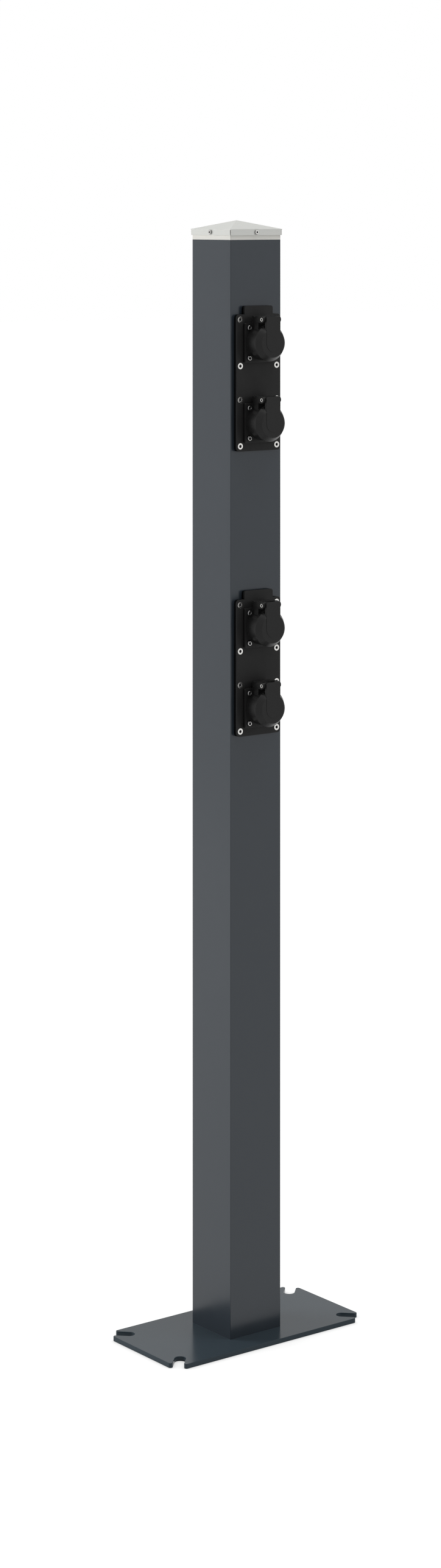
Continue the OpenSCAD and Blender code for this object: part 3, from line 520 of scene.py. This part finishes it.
flangeScrew = {
    "head": 3.5, "height": 1.9, "shank": 1.95, "length": 12.0, "tip": (0.4, 0.5), "neck": 0,
    "rim": [(1.9, 0.15, 1), (1.75, 0, 1), (0.9, 0, 1), (0.25, 0.5, 0.9), (0.06, 0.65, 0.6), (0, 0.75, 0.3)],
    "mouth": [(0, 0.5, 0.3), (0.05, 0.42, 0.9)],
    "key": 1.25, "keyTop": 0.3, "keyShade": 0.95, "keyDepth": 1.2, "keyPoint": 0.4,
    "seat": 11.1,           # from the tube's face to the front of the flange
    "pitch": 38.0, "seed": 8,
}


# where a point of a socket lies: across, up from its middle and out from the tube's face, in millimetres
def socketPoint(across, up, out, height):
    return (across / mmPerMetre, -tubeHalf / mmPerMetre - out / mmPerMetre, height + up / mmPerMetre)


capLow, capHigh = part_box("cap_screws")
capPart = screwPart("capScrewPart", capScrew)
capScrews = runTree("capScrews", ringTree, [(0, 0, (capLow.z + capHigh.z) / 2)],
                    {"Part": capPart, "Radius": (tubeHalf + capScrew["seat"]) / mmPerMetre,
                     "Count": capScrew["count"], "Seed": capScrew["seed"], "Finish": materials["stainless"]})
settle(capScrews, "stainless", postBody, "cap_screws")
bpy.data.objects.remove(capPart)

for name, node, look in (("plateScrews", "plate_screws", plateScrew),
                         ("flangeScrews", "flange_screws", flangeScrew)):
    part = screwPart(name + "Part", look)
    middles = [socketPoint(0, 0, look["seat"], socket["height"]) for socket in sockets]
    screws = runTree(name, squareTree, middles,
                     {"Part": part, "Pitch": look["pitch"] / mmPerMetre, "Seed": look["seed"],
                      "Finish": materials["stainless"]})
    settle(screws, "stainless", postBody, node)
    bpy.data.objects.remove(part)
print("screws ready")

# rounded pieces of the sockets: edge in mm, steps of the rounding, and in degrees the angles past which an
# edge is rounded (sharp) or stays hard (crease)
socketPlate = {"edge": 0.4}
housing = {"edge": 0.35}
contactInsert = {"edge": 0.2}
lid = {"edge": 0.6, "steps": 3, "sharp": 20, "crease": 24}
lidSeal = {"edge": 0.25}

# the pin is a tube with both ends flared and rolled over: each row of its rolled end is a distance past the
# end of the straight part, a radius and a painted shade, dark in its bore
hinge = {
    "up": 29.5, "out": 29.6,            # its axis above the socket's middle and out from the tube's face
    "width": 28.0,
    "rolledEnd": [(-0.02, 1.6, 1), (0, 2.38, 1), (0.12, 2.5, 0.6), (0.35, 2.45, 0.2), (0.48, 2.15, 0),
                  (0.5, 1.8, 0), (0.42, 1.4, 0), (0.1, 1.1, 1)],
}

# a coil round the pin, whose end rests on the hinge block, and a free leg that lies along the lid
spring = {
    "wire": 0.4, "coil": 2.6,           # radii
    "turns": 5.25, "pitch": 1.6,
    "blockOut": 22.92,                  # out from the tube's face to where the coil's end rests
    "legFrom": -0.2, "legBend": 0.3,    # up from the pin's axis
    "legUp": 32.9,                      # up from the socket's middle
    "sides": 12, "perTurn": 24,
}

for level in ("upper", "lower"):
    roundNode("socket_plate_" + level, "socketPlate" + level.title(), "plate_plastic", postBody, socketPlate)

rightEnd = [(hinge["width"] / 2 + past, radius, 0, shade) for past, radius, shade in hinge["rolledEnd"]]
leftEnd = [(-along, radius, sides, shade) for along, radius, sides, shade in reversed(rightEnd)]
pinStations = leftEnd + rightEnd

coilSteps = int(spring["turns"] * spring["perTurn"])
halfCoil = spring["turns"] * spring["pitch"] / 2
coilLine = [(-halfCoil, hinge["up"] - spring["coil"], spring["blockOut"])]
for i in range(coilSteps + 1):
    a = 2 * math.pi * i / spring["perTurn"] - quarterTurn      # starts at the coil's lowest point
    coilLine.append((-halfCoil + 2 * halfCoil * i / coilSteps, hinge["up"] + spring["coil"] * math.sin(a),
                     hinge["out"] + spring["coil"] * math.cos(a)))
legHeights = (hinge["up"] + spring["legFrom"], hinge["up"] + spring["legBend"], spring["legUp"])
legLine = [(halfCoil, up, hinge["out"] + spring["coil"]) for up in legHeights]

for socket in sockets:
    k, flap, height = socket["number"], socket["flap"], socket["height"]
    roundNode("socket_housing_" + k, "socketHousing" + k, "socket_plastic", postBody, housing)
    roundNode("contact_insert_" + k, "contactInsert" + k, "insert_plastic", postBody, contactInsert)
    roundNode("lid_" + k, "lid" + k, "socket_plastic", flap, lid)
    roundNode("lid_seal_" + k, "lidSeal" + k, "gasket_rubber", flap, lidSeal)
    pin = turned("hingePin" + k, pinStations, closed=True)
    pin.data.transform(Matrix.Translation(socketPoint(0, hinge["up"], hinge["out"], height))
                       @ Matrix.Rotation(quarterTurn, 4, "Y"))
    settle(pin, "stainless", postBody, "hinge_pin_" + k)
    for name, line, body in (("springCoil", coilLine, postBody), ("springLeg", legLine, flap)):
        points = [socketPoint(*point, height) for point in line]
        wire = runTree(name + k, wireTree, points,
                       {"Radius": spring["wire"] / mmPerMetre, "Sides": spring["sides"],
                        "Finish": materials["stainless"]},
                       [(i, i + 1) for i in range(len(points) - 1)])
        settle(wire, "stainless", body, "lid_spring_" + k)
print("sockets, lids and springs ready")

# wires inside the tube: round insulation, drawn over the CAD routes
wireColours = {"wires_line": "brown_insulation", "wires_earth": "green_insulation",
               "wires_neutral": "blue_insulation"}

for node, slot in wireColours.items():
    strand = newObject(node.title().replace("_", ""), skinOf(node))
    finer = strand.modifiers.new("finer", "SUBSURF")
    finer.levels = finer.render_levels = 1
    freeze(strand)
    settle(strand, slot, postBody, node)
print("wires ready")

# every other CAD node keeps its shape and takes its slot's finish
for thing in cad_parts.values():
    if thing.hide_render:
        continue
    slot = thing.data.materials[0].name
    thing.material_slots[0].link = "OBJECT"
    thing.material_slots[0].material = materials[slot]
print("finishes set on the remaining nodes")
